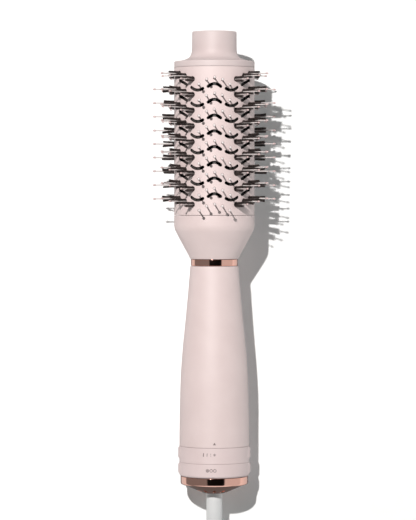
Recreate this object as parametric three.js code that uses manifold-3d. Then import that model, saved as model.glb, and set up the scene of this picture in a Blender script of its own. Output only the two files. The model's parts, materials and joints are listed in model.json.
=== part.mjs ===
// Hot air brush: a round bristled barrel on a motor handle, with two tail dials and a swivel cord.
// Millimetres, +Z up. The brush lies on its bristle tips and its tail, cool tip towards +Y.
// In the brush's own group the barrel axis is +Z, the tail ends at z = 0 and the front is -Y.
import * as THREE from 'three';
import * as BufferGeometryUtils from 'three/addons/utils/BufferGeometryUtils.js';
import Module from 'manifold-3d';

const wasm = await Module();
wasm.setup();

// ---- driving dimensions, along the brush axis from the tail end ----
const GAP = 0.3;
const BASE_TOP = 13.8;
const DIAL_SPLIT = 25.0;
const HANDLE_START = 37.6;
const HANDLE_END = 179.3;
const COLLAR_START = 184.7;
const BARREL_START = 219.2;
const BARREL_END = 335.3;
const TIP_END = 363.6;

const BARREL_RADIUS = 31.6;
const BARREL_WALL = 1.6;
const BARREL_FACETS = 28;
const BRISTLE_RADIUS = 48.4;
const DIAL_RADIUS = 27.6;
const GRIP_RADIUS = 28.5;
const BASE_RADIUS = 26.6;
const BOOT_RADIUS = 6.3;
const BOOT_LENGTH = 48;

// Bristle rows: nine rows of waves, and a tighter straight strip along each side. A column is
// [direction its bristles point in, drop from the row's height, offset to one side]: a tuft
// stands straight out of the barrel, but the pins of one comb are parallel.
const ROWS = 9;
const ROW_PITCH = 12.2;
const FIRST_ROW = 325.6;
const PIN_COLUMNS = [[0, -5.1, -12], [0, -1.4, -6.1], [0, 0, 0], [0, -1.4, 6.1], [0, -5.1, 12]];
const TUFT_COLUMNS = [[33, -0.4, 0], [47, 2.2, 0], [60.2, 4.3, 0]];
const SIDE_COLUMN = [90, -7.4, 0];
const FRONT = [0, 0, 0];
const SIDE_PITCH = 10.75;
const PIN = { root: 1.1, hole: 1.6, spine: 2.2 };
const TUFT = { root: 3.8, hole: 4.4, spine: 4.3 };

// Air slots of one row: centre angle, then offsets [angle, z] of its three points from the row.
const SLOT_DROP = 4.8;
const SLOT_WIDTH = 2.3;
const SLOT_PITCH = 360 / 14;
const SLOTS = [
  { at: 0, line: [[-11, -2.6], [0, 0.6], [11, -2.6]] },
  { at: SLOT_PITCH, line: [[-11, -2.4], [0, -4.3], [11, -1.2]] },
  { at: 2 * SLOT_PITCH, line: [[-10.4, -0.6], [0, 2.2], [10.4, 3.9]] },
];

const STRIP_LOW = 219.7;
const STRIP_HIGH = 334.7;
const STRIP_INNER = 27.3;
const STRIP_OUTER = 29.3;

// ---- materials ----
const finish = (color, roughness, metalness = 0) =>
  new THREE.MeshStandardMaterial({ color, roughness, metalness });
const blush = finish(0xe2d2cf, 0.4);
const roseGold = finish(0xd9a18f, 0.15, 1);
const nylonPin = finish(0xe6dcd8, 0.35);
const tuftFibre = finish(0x3a2d2b, 0.6);
const blackPlastic = finish(0x262425, 0.55);
const steel = finish(0x9a9a9c, 0.35, 1);
const copper = finish(0xb06b42, 0.35, 1);
const mica = finish(0xc9bda4, 0.6);
const board = finish(0x2f6b45, 0.6);
const whitePlastic = finish(0xe9e7e4, 0.5);
const cordGrey = finish(0xcfcfce, 0.45);

// ---- geometry helpers ----
const rad = THREE.MathUtils.degToRad;

// A geometry with shared vertices, no zero-area corners and its faces pointing out.
function closed(geometry) {
  const bare = geometry.clone();
  for (const name of Object.keys(bare.attributes)) {
    if (name !== 'position') bare.deleteAttribute(name);
  }
  const merged = BufferGeometryUtils.mergeVertices(bare, 1e-4);
  const at = (i) => new THREE.Vector3().fromBufferAttribute(merged.attributes.position, i);
  const index = merged.index.array;
  const kept = [];
  let volume = 0;
  for (let i = 0; i < index.length; i += 3) {
    const [a, b, c] = index.slice(i, i + 3);
    if (a === b || b === c || c === a) continue;
    kept.push(a, b, c);
    volume += at(a).dot(at(b).cross(at(c)));
  }
  if (volume < 0) kept.reverse();
  merged.setIndex(kept);
  return merged;
}

function toManifold(geometry) {
  const g = closed(geometry);
  return new wasm.Manifold(new wasm.Mesh({
    numProp: 3,
    vertProperties: new Float32Array(g.attributes.position.array),
    triVerts: new Uint32Array(g.index.array),
  }));
}

function fromManifold(solid) {
  const mesh = solid.getMesh();
  const geometry = new THREE.BufferGeometry();
  geometry.setAttribute('position', new THREE.BufferAttribute(mesh.vertProperties, 3));
  geometry.setIndex(new THREE.BufferAttribute(mesh.triVerts, 1));
  return geometry;
}

const join = (...pieces) =>
  fromManifold(pieces.map(toManifold).reduce((a, b) => a.add(b)));

function cut(geometry, cutters) {
  const tool = cutters.map(toManifold).reduce((a, b) => a.add(b));
  return fromManifold(toManifold(geometry).subtract(tool));
}

// A body of revolution about +Z from [radius, z] points; the profile is closed on itself
// unless it starts and ends on the axis. Angle 0 is the front, -Y.
function turned(profile, segments = 24) {
  const points = profile.map(([r, z]) => new THREE.Vector2(r, z));
  const onAxis = profile[0][0] === 0 && profile.at(-1)[0] === 0;
  if (!onAxis) points.push(points[0].clone());
  return closed(new THREE.LatheGeometry(points, segments).rotateX(Math.PI / 2));
}

const tube = (outer, inner, low, high, segments) =>
  turned([[inner, low], [outer, low], [outer, high], [inner, high]], segments);
const rod = (radius, low, high, segments = 12) =>
  turned([[0, low], [radius, low], [radius, high], [0, high]], segments);
const block = (x, y, z, cx = 0, cy = 0, cz = 0) =>
  new THREE.BoxGeometry(x, y, z).translate(cx, cy, cz);

// Part of a ring, between two angles from the front towards +X.
function sector(inner, outer, from, to, low, high, steps = 3) {
  const shape = new THREE.Shape();
  const [a, b] = [rad(from - 90), rad(to - 90)];
  shape.absarc(0, 0, outer, a, b, false);
  shape.absarc(0, 0, inner, b, a, true);
  const depth = high - low;
  return new THREE.ExtrudeGeometry(shape, { depth, bevelEnabled: false, curveSegments: steps })
    .translate(0, 0, low);
}

// Local axes at an angle round the barrel: across, outwards, and along the brush.
function outward(degrees) {
  const a = rad(degrees);
  const across = new THREE.Vector3(Math.cos(a), Math.sin(a), 0);
  const out = new THREE.Vector3(Math.sin(a), -Math.cos(a), 0);
  return { across, out, along: new THREE.Vector3(0, 0, 1) };
}

// A square stalk pointing outwards at an angle and a height, from radius low to high, and moved
// aside by an offset. With no tip width it is a pyramid that ends in a point.
function stalk([degrees, , offset], z, lowRadius, highRadius, rootWidth, tipWidth = 0) {
  const { across, out, along } = outward(degrees);
  const [low, high] = [lowRadius, highRadius].map((radius) => Math.sqrt(radius ** 2 - offset ** 2));
  const centre = out.clone().multiplyScalar((low + high) / 2).addScaledVector(across, offset);
  const stalkBox = new THREE.BoxGeometry(rootWidth, high - low, rootWidth);
  const corners = stalkBox.attributes.position;
  for (let i = 0; i < corners.count; i += 1) {
    const taper = corners.getY(i) > 0 ? tipWidth / rootWidth : 1;
    corners.setXYZ(i, corners.getX(i) * taper, corners.getY(i), corners.getZ(i) * taper);
  }
  return stalkBox
    .applyMatrix4(new THREE.Matrix4().makeBasis(across.clone().negate(), out, along))
    .translate(centre.x, centre.y, z);
}

function add(group, name, geometry, material) {
  const mesh = new THREE.Mesh(closed(geometry), material);
  mesh.name = name;
  group.add(mesh);
  return mesh;
}

// ---- the head ----
const mirrored = ([angle, z, offset]) => [180 - angle, z, -offset];
const rowHeights = (first, pitch) =>
  Array.from({ length: ROWS }, (_, row) => first - row * pitch);

// Every bristle column of the barrel, grouped by the comb that carries it.
const leftOf = ([angle, z, offset]) => [-angle, z, -offset];
const SPINE_RADIUS = (STRIP_INNER + STRIP_OUTER) / 2;
const spineAngle = ([angle, , offset]) =>
  angle + THREE.MathUtils.radToDeg(Math.asin(offset / SPINE_RADIUS));
const combs = [
  { name: 'pin_comb_front', kind: PIN, pitch: ROW_PITCH, columns: PIN_COLUMNS },
  { name: 'pin_comb_back', kind: PIN, pitch: ROW_PITCH, columns: PIN_COLUMNS.map(mirrored) },
  { name: 'tuft_comb_front_right', kind: TUFT, pitch: ROW_PITCH, columns: TUFT_COLUMNS },
  { name: 'tuft_comb_front_left', kind: TUFT, pitch: ROW_PITCH, columns: TUFT_COLUMNS.map(leftOf) },
  {
    name: 'tuft_comb_back_right', kind: TUFT, pitch: ROW_PITCH,
    columns: TUFT_COLUMNS.map(mirrored),
  },
  {
    name: 'tuft_comb_back_left', kind: TUFT, pitch: ROW_PITCH,
    columns: TUFT_COLUMNS.map(mirrored).map(leftOf),
  },
  { name: 'tuft_strip_right', kind: TUFT, pitch: SIDE_PITCH, columns: [SIDE_COLUMN] },
  { name: 'tuft_strip_left', kind: TUFT, pitch: SIDE_PITCH, columns: [leftOf(SIDE_COLUMN)] },
];

// A spine under the barrel wall for each column, joined at both ends, with its bristles.
function combSolid({ kind, pitch, columns }) {
  const pieces = [];
  const middle = (STRIP_LOW + STRIP_HIGH) / 2;
  for (const column of columns) {
    const { across, out, along } = outward(spineAngle(column));
    const depth = STRIP_OUTER - STRIP_INNER;
    const centre = out.clone().multiplyScalar(SPINE_RADIUS);
    pieces.push(block(kind.spine, depth, STRIP_HIGH - STRIP_LOW)
      .applyMatrix4(new THREE.Matrix4().makeBasis(across, out.clone().negate(), along))
      .translate(centre.x, centre.y, middle));
    for (const z of rowHeights(FIRST_ROW + column[1], pitch)) {
      pieces.push(stalk(column, z, SPINE_RADIUS, BRISTLE_RADIUS, kind.root));
    }
  }
  if (columns.length > 1) {
    const angles = columns.map(spineAngle);
    const [from, to] = [Math.min(...angles) - 1, Math.max(...angles) + 1];
    pieces.push(sector(STRIP_INNER, STRIP_OUTER - 0.1, from, to, STRIP_LOW, STRIP_LOW + 2));
    pieces.push(sector(STRIP_INNER, STRIP_OUTER - 0.1, from, to, STRIP_HIGH - 2, STRIP_HIGH));
  }
  return join(...pieces);
}

// A slot cutter: a bent band in the plane that faces out at the slot's centre angle.
function slotCutter(centreAngle, line, rowHeight) {
  const points = line.map(([angle, z]) =>
    new THREE.Vector2(BARREL_RADIUS * Math.sin(rad(angle)), z));
  const half = new THREE.Vector2(0, SLOT_WIDTH / 2);
  const upper = points.map((p) => p.clone().add(half));
  const lower = points.map((p) => p.clone().sub(half)).reverse();
  const { across, out, along } = outward(centreAngle);
  return new THREE.ExtrudeGeometry(new THREE.Shape([...upper, ...lower]), {
    depth: 8, bevelEnabled: false,
  })
    .translate(0, rowHeight, BARREL_RADIUS - 5)
    .applyMatrix4(new THREE.Matrix4().makeBasis(across, along, out.clone()));
}

function barrelSolid() {
  const cutters = [];
  for (const { kind, pitch, columns } of combs) {
    for (const column of columns) {
      for (const z of rowHeights(FIRST_ROW + column[1], pitch)) {
        cutters.push(stalk(column, z, STRIP_OUTER - 2, BARREL_RADIUS + 2, kind.hole, kind.hole));
      }
    }
  }
  const flip = (line) => line.map(([angle, z]) => [-angle, z]).reverse();
  for (const z of rowHeights(FIRST_ROW - SLOT_DROP, ROW_PITCH).slice(0, ROWS - 1)) {
    for (const { at, line } of SLOTS) {
      cutters.push(slotCutter(at, line, z), slotCutter(180 - at, flip(line), z));
      if (at > 0) cutters.push(slotCutter(-at, flip(line), z), slotCutter(180 + at, line, z));
    }
  }
  const wall = tube(BARREL_RADIUS, BARREL_RADIUS - BARREL_WALL,
    BARREL_START + GAP / 2, BARREL_END - GAP / 2, BARREL_FACETS);
  return cut(wall, cutters);
}

function makeHead(brush) {
  // The tip is a hollow cap with a spigot inside the barrel and a bored post for the tie rod.
  const under = TIP_END - 2.2;
  add(brush, 'cool_tip', turned([
    [0, TIP_END], [16.7, TIP_END], [17.5, TIP_END - 1.1], [17.7, 349], [18.9, 344.4],
    [22.6, 341.6], [31.0, 340.1], [BARREL_RADIUS, 339.2], [BARREL_RADIUS, BARREL_END + GAP / 2],
    [26.8, BARREL_END + GAP / 2], [26.8, BARREL_END - 8], [24.8, BARREL_END - 8],
    [24.8, 338.2], [15.3, 340.4], [15.3, under], [3.6, under], [3.6, 340], [1.9, 340],
    [1.9, 352], [0, 352],
  ], 20), blush);
  add(brush, 'barrel', barrelSolid(), blush);
  for (const comb of combs) {
    add(brush, comb.name, combSolid(comb), comb.kind === PIN ? nylonPin : tuftFibre);
  }
  add(brush, 'air_guide', turned([
    [18.2, 222], [19.2, 222], [10.4, 328], [9.4, 328],
  ], 20), blackPlastic);
  add(brush, 'tie_rod', turned([
    [0, 186.4], [3.4, 186.4], [3.4, 188.8], [1.6, 188.8], [1.6, 350], [0, 350],
  ], 10), steel);
}

// ---- neck and handle ----
function makeHandle(brush) {
  const collarLow = COLLAR_START + GAP / 2;
  const collarHigh = BARREL_START - GAP / 2;
  add(brush, 'head_collar', turned([
    [24.8, 224], [26.8, 224], [26.8, collarHigh], [BARREL_RADIUS, collarHigh],
    [BARREL_RADIUS, 208.8], [31.0, 207], [26.9, 199.8], [20.9, 189], [18.9, collarLow],
    [16.9, collarLow], [19.2, 190], [24.9, 200.7], [28.2, 208], [24.8, 213],
  ], 24), blush);
  add(brush, 'neck_ring', turned([
    [16.9, 179.45], [18.2, 179.45], [18.5, 179.8], [18.5, 184.2], [18.2, 184.55], [16.9, 184.55],
  ], 20), roseGold);

  const hub = tube(4.3, 2.0, 189.2, 192.8, 12);
  const spokes = [0, 120, 240].map((angle) =>
    block(1.6, 11.4, 3.6, 0, -9.6, 191).rotateZ(rad(angle)));
  add(brush, 'neck_frame', join(tube(16.2, 14.8, 174, 192.8, 16), hub, ...spokes), blackPlastic);

  add(brush, 'handle_shell', turned([
    [27.5, HANDLE_START + GAP / 2], [27.0, 76], [26.1, 99], [24.4, 118], [21.8, 145],
    [20.0, 165], [18.9, HANDLE_END - GAP / 2], [16.8, HANDLE_END - GAP / 2], [18.6, 155],
    [22.2, 118], [25.1, 82], [25.2, HANDLE_START + GAP / 2],
  ], 24), blush);
}

// ---- tail: dials, their switch, and the base ----
const HEAT_TAB = 31.5;
const SPEED_TAB = 20.5;
const HEAT_TRAVEL = 18;
const SPEED_TRAVEL = 12;
const SCREW_AT = 19.7;

// A dial ring with a raised grip on each side and a tab that reaches in to its wiper.
function dialSolid(low, high, chamfer, gripLow, gripHigh, tabHeight) {
  const ring = turned([
    [24.4, low], [DIAL_RADIUS - chamfer, low], [DIAL_RADIUS, low + chamfer],
    [DIAL_RADIUS, high], [24.4, high],
  ], 24);
  const grips = [90, 270].map((at) =>
    sector(DIAL_RADIUS - 1.2, GRIP_RADIUS, at - 15, at + 15, gripLow, gripHigh, 2));
  const tab = sector(19.6, 25.4, 176, 184, tabHeight - 1.5, tabHeight + 1.5, 1);
  return join(ring, ...grips, tab);
}

// A leaf inside the chassis whose bump reaches through to the dial.
const detentSolid = (z) => join(
  sector(21.2, 21.8, -16, 16, z - 1.5, z + 1.5, 2),
  stalk(FRONT, z, 21.5, 24.1, 2.0, 1.2),
);

function makeTail(brush) {
  const bosses = [-1, 1].map((side) => rod(2.7, 14.3, 23.5, 10).translate(side * SCREW_AT, 0, 0));
  const windows = [
    sector(20, 26, 172.5, 184 + HEAT_TRAVEL + 3.5, HEAT_TAB - 2, HEAT_TAB + 2, 2),
    sector(20, 26, 172.5, 184 + SPEED_TRAVEL + 3.5, SPEED_TAB - 2, SPEED_TAB + 2, 2),
    stalk(FRONT, HEAT_TAB, 20, 26, 3, 3),
    stalk(FRONT, SPEED_TAB, 20, 26, 3, 3),
    ...[-1, 1].map((side) => rod(1.3, 10, 22.5, 8).translate(side * SCREW_AT, 0, 0)),
  ];
  const shell = turned([
    [22.2, 14.3], [23.9, 14.3], [23.9, 37.7], [24.6, 38.9], [24.6, 76], [22.2, 92],
    [22.2, 110], [20.8, 110], [20.8, 91], [22.2, 78],
  ], 20);
  add(brush, 'chassis', cut(join(shell, ...bosses), windows), blackPlastic);

  add(brush, 'heat_dial', dialSolid(
    DIAL_SPLIT + GAP / 2, HANDLE_START - GAP / 2, 0.3, 28, 37, HEAT_TAB), blush);
  add(brush, 'speed_dial', dialSolid(
    BASE_TOP + GAP, DIAL_SPLIT - GAP / 2, 0.9, 15.8, 24.4, SPEED_TAB), blush);
  const boardLow = 25.4;
  add(brush, 'switch_board', tube(21.6, 9, boardLow, boardLow + 1.4, 16), board);
  add(brush, 'heat_wiper',
    sector(17.2, 19.3, 177, 183, boardLow + 1.8, HEAT_TAB + 1, 1), copper);
  add(brush, 'speed_wiper',
    sector(17.2, 19.3, 177, 183, SPEED_TAB - 1, boardLow - 0.4, 1), copper);
  add(brush, 'heat_detent', detentSolid(HEAT_TAB), steel);
  add(brush, 'speed_detent', detentSolid(SPEED_TAB), steel);

  const cap = turned([
    [BASE_RADIUS, BASE_TOP - GAP / 2], [BASE_RADIUS, 9.4], [25.7, 8.0], [23.6, 7.0],
    [15, 2.8], [7.6, 0], [6.8, 0], [6.8, 2.0], [15, 4.7], [22.8, 8.7], [24.9, 10.4],
    [24.9, BASE_TOP - GAP / 2],
  ], 24);
  const capBosses = [-1, 1].map((side) =>
    rod(3.6, 5.9, BASE_TOP - GAP / 2, 10).translate(side * SCREW_AT, 0, 0));
  const intakes = Array.from({ length: 12 }, (_, i) => i * 30)
    .filter((angle) => angle % 180 !== 90)
    .map((angle) => block(2.2, 6.4, 8, 0, -12.8, 3.5).rotateZ(rad(angle)));
  const screwHoles = [-1, 1].flatMap((side) => [
    rod(2.4, 0, 8.6, 10).translate(side * SCREW_AT, 0, 0),
    rod(1.4, 0, 20, 10).translate(side * SCREW_AT, 0, 0),
  ]);
  add(brush, 'base_cap', cut(join(cap, ...capBosses), [...intakes, ...screwHoles]), roseGold);
  for (const [side, name] of [[-1, 'base_screw_left'], [1, 'base_screw_right']]) {
    add(brush, name, turned([
      [0, 6.3], [2.0, 6.3], [2.0, 8.2], [1.0, 8.2], [1.0, 21], [0, 21],
    ], 8).translate(side * SCREW_AT, 0, 0), steel);
  }
  add(brush, 'inlet_filter', tube(15.6, 9.0, 6.6, 7.4, 16), blackPlastic);
  add(brush, 'swivel_retainer', tube(8.5, 4, 6.3, 9, 12), blackPlastic);
  add(brush, 'strain_relief', turned([
    [0, 5.9], [8.2, 5.9], [8.2, 4.3], [BOOT_RADIUS, 4.0], [BOOT_RADIUS, -26],
    [4.4, -BOOT_LENGTH], [0, -BOOT_LENGTH],
  ], 16), cordGrey);
}

// ---- works inside the handle ----
function makeFan(brush) {
  const blades = Array.from({ length: 7 }, (_, i) =>
    block(1.0, 10.4, 9, 0, 0, 0).rotateY(rad(38)).translate(0, -16.2, 51)
      .rotateZ(rad((i * 360) / 7)));
  add(brush, 'impeller', join(tube(11.6, 1.5, 46, 56, 14), ...blades), whitePlastic);
  add(brush, 'motor_shaft', rod(1.2, 44, 96, 12), steel);
  add(brush, 'armature', tube(8.6, 1.5, 68, 83, 10), copper);
  add(brush, 'commutator', tube(3.4, 1.5, 84, 88.2, 8), copper);
  add(brush, 'motor_can', turned([
    [12.6, 61], [13.8, 61], [13.8, 92], [4.6, 92], [4.6, 90.6], [12.6, 90.6],
  ], 16), steel);
  add(brush, 'motor_end_cap', tube(12.2, 4.6, 60.6, 62.4, 16), blackPlastic);
  add(brush, 'bearing_fan_end', tube(4.3, 1.28, 59.4, 63, 10), steel);
  add(brush, 'bearing_heater_end', tube(4.3, 1.28, 88.9, 93.2, 10), steel);
  add(brush, 'motor_magnet', tube(12.2, 9.4, 66.5, 83.5, 16), blackPlastic);
  for (const [side, name] of [[-1, 'carbon_brush_left'], [1, 'carbon_brush_right']]) {
    add(brush, name, block(4.4, 2.4, 2.6, side * 6, 0, 86.2), blackPlastic);
  }
  const vanes = Array.from({ length: 7 }, (_, i) =>
    block(0.9, 6.2, 11, 0, 0, 0).rotateY(rad(-16)).translate(0, -17.9, 71)
      .rotateZ(rad((i * 360) / 7)));
  add(brush, 'stator_vanes', join(
    tube(21.8, 20.8, 64, 77.5, 16), tube(15.4, 14.3, 64, 77.5, 16), ...vanes), whitePlastic);
}

const HEATER_LOW = 114;
const HEATER_HIGH = 166;

function makeHeater(brush) {
  const middle = (HEATER_LOW + HEATER_HIGH) / 2;
  const height = HEATER_HIGH - HEATER_LOW;
  const slot = height / 2 + 0.3;
  const sheet = (turn) => block(24.6, 0.8, height, 0, 0, middle).rotateZ(rad(turn));
  const notch = (z) => block(1.5, 1.5, slot, 0, 0, z);
  add(brush, 'mica_board_wide', cut(sheet(0), [notch(HEATER_LOW + height / 4)]), mica);
  add(brush, 'mica_board_cross', cut(sheet(90), [notch(HEATER_HIGH - height / 4)]), mica);

  const turns = 6;
  const steps = turns * 8;
  const helix = new THREE.CatmullRomCurve3(Array.from({ length: steps + 1 }, (_, i) => {
    const angle = (i * 2 * Math.PI) / 8;
    const z = HEATER_LOW + 4 + (i * (height - 8)) / steps;
    return new THREE.Vector3(13.6 * Math.cos(angle), 13.6 * Math.sin(angle), z);
  }));
  const wire = new THREE.Shape();
  wire.absarc(0, 0, 0.45, 0, 2 * Math.PI);
  add(brush, 'heater_coil', new THREE.ExtrudeGeometry(wire, {
    steps, curveSegments: 2, extrudePath: helix, bevelEnabled: false,
  }), steel);
  add(brush, 'mica_sleeve', tube(16.0, 15.3, 112.5, 170, 14), mica);
  add(brush, 'thermostat', rod(3.2, 160, 163, 10).translate(5.4, 5.4, 0), steel);
  add(brush, 'thermal_fuse', rod(1.3, 138, 150, 8).translate(-5, 5, 0), steel);
  add(brush, 'control_board', block(24, 1.6, 13, 0, -8, 102.5), board);
  add(brush, 'capacitor', rod(4, 97, 107, 10).translate(0, -13.4, 0), blackPlastic);
  add(brush, 'ionizer', block(14, 6.5, 12, 0, 12, 102), whitePlastic);
  add(brush, 'ion_needle', turned([
    [0, 108.3], [0.7, 108.3], [0.2, 111.9], [0, 111.9],
  ], 8).translate(0, 12, 0), steel);
}

const brush = new THREE.Group();
makeHead(brush);
makeHandle(brush);
makeTail(brush);
makeFan(brush);
makeHeater(brush);

// The brush rests on the tail-most back bristles and on the speed dial.
const lastRow = FIRST_ROW - (ROWS - 1) * ROW_PITCH;
const restTilt = Math.atan((BRISTLE_RADIUS - DIAL_RADIUS) / (lastRow - (BASE_TOP + 1.2)));
brush.rotation.x = restTilt - Math.PI / 2;
brush.updateMatrixWorld(true);
const extent = new THREE.Box3().setFromObject(brush, true);
brush.position.set(0, -(extent.min.y + extent.max.y) / 2, -extent.min.z);

// ---- the cord, laid on the surface that the brush rests on ----
const CORD_RADIUS = 3.5;
const COIL_CENTRE = [22, -314];
const COIL_INNER = 28.8;
const COIL_PITCH = 7.2;
const COIL_FLOOR = 4.6;
const COIL_IN_TURNS = 3.75;
const COIL_CLIMB_TURNS = 0.3;
const COIL_OUT_TURNS = 3.45;
const STUB = 32;
const PLUG_AT = [71.5, -248];
const PLUG_LENGTH = 31;
const PLUG_AXIS = 8;

// From the strain relief down to the surface, and on to the coil.
const LEAD_ROUTE = [
  [0, -206.4, 21.3], [0, -213, 20.6], [-0.6, -220, 19.4], [-2.6, -227, 17.2],
  [-6.2, -234, 14.4], [-11.2, -241, 11.4], [-17, -248, 8.8], [-22.6, -255, 6.8],
  [-27.6, -262, 5.4], [-31.4, -269, 4.8], [-33.4, -275.5, 4.6], [-33.8, -281.5, 4.6],
];
// From the coil to the back of the plug.
const TAIL_ROUTE = [
  [75.64, -281.5, 11.8], [75.5, -276, 11.5], [75, -270, 10.7], [74, -264.5, 9.7],
  [72.8, -259.5, 8.8], [71.9, -254, 8.2], [71.5, -248.3, 8],
];

function cordTube(route) {
  const section = new THREE.Shape();
  section.absarc(0, 0, CORD_RADIUS, 0, 2 * Math.PI);
  const path = new THREE.CatmullRomCurve3(route.map(([x, y, z]) => new THREE.Vector3(x, y, z)));
  return new THREE.ExtrudeGeometry(section, {
    steps: route.length, curveSegments: 5, extrudePath: path, bevelEnabled: false,
  });
}

function makeCord(scene) {
  const [cx, cy] = COIL_CENTRE;
  const entryRadius = COIL_INNER + COIL_PITCH * COIL_IN_TURNS;
  const exitRadius = COIL_INNER + COIL_PITCH * COIL_OUT_TURNS;
  const top = COIL_FLOOR + COIL_PITCH;
  const outer = entryRadius + CORD_RADIUS + 0.2;
  const ring = tube(outer, COIL_INNER - CORD_RADIUS - 0.2, 1.0, top + 3.7, 32)
    .translate(cx, cy, 0);
  const stub = (x, z) =>
    new THREE.CylinderGeometry(3.7, 3.7, STUB, 8).translate(x, cy + STUB / 2, z);
  const stubs = [stub(cx - entryRadius, COIL_FLOOR), stub(cx + exitRadius, top)];
  add(scene, 'cord_lead', cordTube(LEAD_ROUTE), cordGrey);
  add(scene, 'cord_coil', join(ring, ...stubs), cordGrey);
  add(scene, 'cord_tail', cordTube(TAIL_ROUTE), cordGrey);

  // The tie goes round the turns on the far side of the coil.
  const [low, high] = [COIL_INNER - CORD_RADIUS - 1.2, outer + 0.4];
  const band = new THREE.Shape().setFromPoints([
    [low - 0.8, 0], [high + 0.8, 0], [high + 0.8, top + 4.9], [low - 0.8, top + 4.9],
  ].map(([x, y]) => new THREE.Vector2(x, y)));
  band.holes.push(new THREE.Path().setFromPoints([
    [low, 0.7], [low, top + 4.1], [high, top + 4.1], [high, 0.7],
  ].map(([x, y]) => new THREE.Vector2(x, y))));
  add(scene, 'cord_tie', new THREE.ExtrudeGeometry(band, { depth: 7, bevelEnabled: false })
    .translate(0, 0, -3.5).rotateX(Math.PI / 2).rotateZ(-Math.PI / 2)
    .translate(cx, cy, 0), blackPlastic);

  const [px, py] = PLUG_AT;
  const outline = new THREE.Shape().setFromPoints([
    [-5.5, 0], [5.5, 0], [7, 8], [12, 14], [12, PLUG_LENGTH], [-12, PLUG_LENGTH],
    [-12, 14], [-7, 8],
  ].map(([x, y]) => new THREE.Vector2(px + x, py + y)));
  add(scene, 'plug_body', new THREE.ExtrudeGeometry(outline, {
    depth: 2 * PLUG_AXIS, bevelEnabled: false,
  }), cordGrey);
  for (const [side, name] of [[-1, 'plug_blade_left'], [1, 'plug_blade_right']]) {
    add(scene, name, block(1.5, 17, 6.3,
      px + side * 6.35, py + PLUG_LENGTH + GAP + 8.5, PLUG_AXIS), steel);
  }
}

const hotAirBrush = new THREE.Group();
hotAirBrush.add(brush);
makeCord(hotAirBrush);

export default hotAirBrush;
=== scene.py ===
"""The looks of the hot air brush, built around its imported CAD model.

Brush places are in millimetres along three axes: right (+X), front (away from the surface it lies
on) and along the brush from its tail to its tip. Angles go round the brush, from the front towards
the right.
"""
import json
import math
import random

import bmesh
import bpy
import numpy as np
from mathutils import Matrix, Vector
from mathutils.geometry import delaunay_2d_cdt


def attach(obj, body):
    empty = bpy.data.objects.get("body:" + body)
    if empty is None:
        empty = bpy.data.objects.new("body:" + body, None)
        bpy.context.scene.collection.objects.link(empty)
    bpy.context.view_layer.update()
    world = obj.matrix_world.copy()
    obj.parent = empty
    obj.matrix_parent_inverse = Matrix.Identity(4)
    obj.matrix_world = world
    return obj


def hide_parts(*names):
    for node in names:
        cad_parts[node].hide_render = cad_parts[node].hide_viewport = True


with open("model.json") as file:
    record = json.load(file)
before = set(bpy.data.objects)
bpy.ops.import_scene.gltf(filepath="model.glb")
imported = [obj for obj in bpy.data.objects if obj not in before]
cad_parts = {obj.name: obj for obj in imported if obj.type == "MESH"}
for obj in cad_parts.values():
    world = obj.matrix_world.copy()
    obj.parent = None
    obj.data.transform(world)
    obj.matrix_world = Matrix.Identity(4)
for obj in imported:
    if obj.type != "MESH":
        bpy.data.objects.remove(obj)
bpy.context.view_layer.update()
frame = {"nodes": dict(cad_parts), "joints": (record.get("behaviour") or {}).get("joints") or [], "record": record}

MM = 0.001
# Every joint turns about the brush's own line, which starts at its tail.
axis_joint = frame["joints"][0]
TAIL = Vector(axis_joint["pos_m"])
ALONG = Vector(axis_joint["axis"]).normalized()
FRONT = (Vector((0, 0, 1)) - ALONG * ALONG.z).normalized()
RIGHT = ALONG.cross(FRONT)
BRUSH_AXES = np.array([RIGHT, FRONT, ALONG])


# ---- places and sizes ----
def to_row(points):
    """Points in brush millimetres as points in the row frame, in metres."""
    return np.array(TAIL) + (np.asarray(points, float) * MM) @ BRUSH_AXES


def span(node):
    """A CAD node's lowest and highest place along the brush and its radius, in millimetres."""
    world = np.array([v.co for v in frame["nodes"][node].data.vertices])
    local = (world - np.array(TAIL)) @ BRUSH_AXES.T / MM
    return local[:, 2].min(), local[:, 2].max(), np.hypot(local[:, 0], local[:, 1]).max()


GAP = 0.3  # what the CAD model leaves between pieces that touch
BARREL_LOW, BARREL_HIGH, BARREL_R = span("barrel")
TIP_HIGH = span("cool_tip")[1]
COMB_LOW, COMB_HIGH, BRISTLE_R = span("pin_comb_front")
HEAT_LOW, HEAT_HIGH, GRIP_R = span("heat_dial")
SPEED_LOW, SPEED_HIGH, _ = span("speed_dial")
HANDLE_LOW, HANDLE_HIGH, HANDLE_R = span("handle_shell")
RING_LOW, RING_HIGH, RING_R = span("neck_ring")
COLLAR_HIGH = BARREL_LOW - GAP
BASE_HIGH, BASE_R = span("base_cap")[1:]
DIAL_R = 27.6
BOOT_LOW, BOOT_FLANGE, _ = span("strain_relief")
BOOT_R = 6.3
SEAM_TRIM = 0.1  # how far a dial or the cool tip closes a gap, for a finer seam

# A column of bristles: the angle they point at, their rise from the row's place, and their offset
# to one side. A tuft stands straight out, but the pins of one comb are parallel.
ROWS = 9
ROW_PITCH = 12.2
FIRST_ROW = 325.6
PIN_COLUMNS = [(0, -5.1, -12.0), (0, -1.4, -6.1), (0, 0, 0), (0, -1.4, 6.1), (0, -5.1, 12.0)]
TUFT_COLUMNS = [(33, -0.4, 0), (47, 2.2, 0), (60.2, 4.3, 0)]
SIDE_COLUMN = (90, -7.4, 0)
SIDE_PITCH = 10.75
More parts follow.
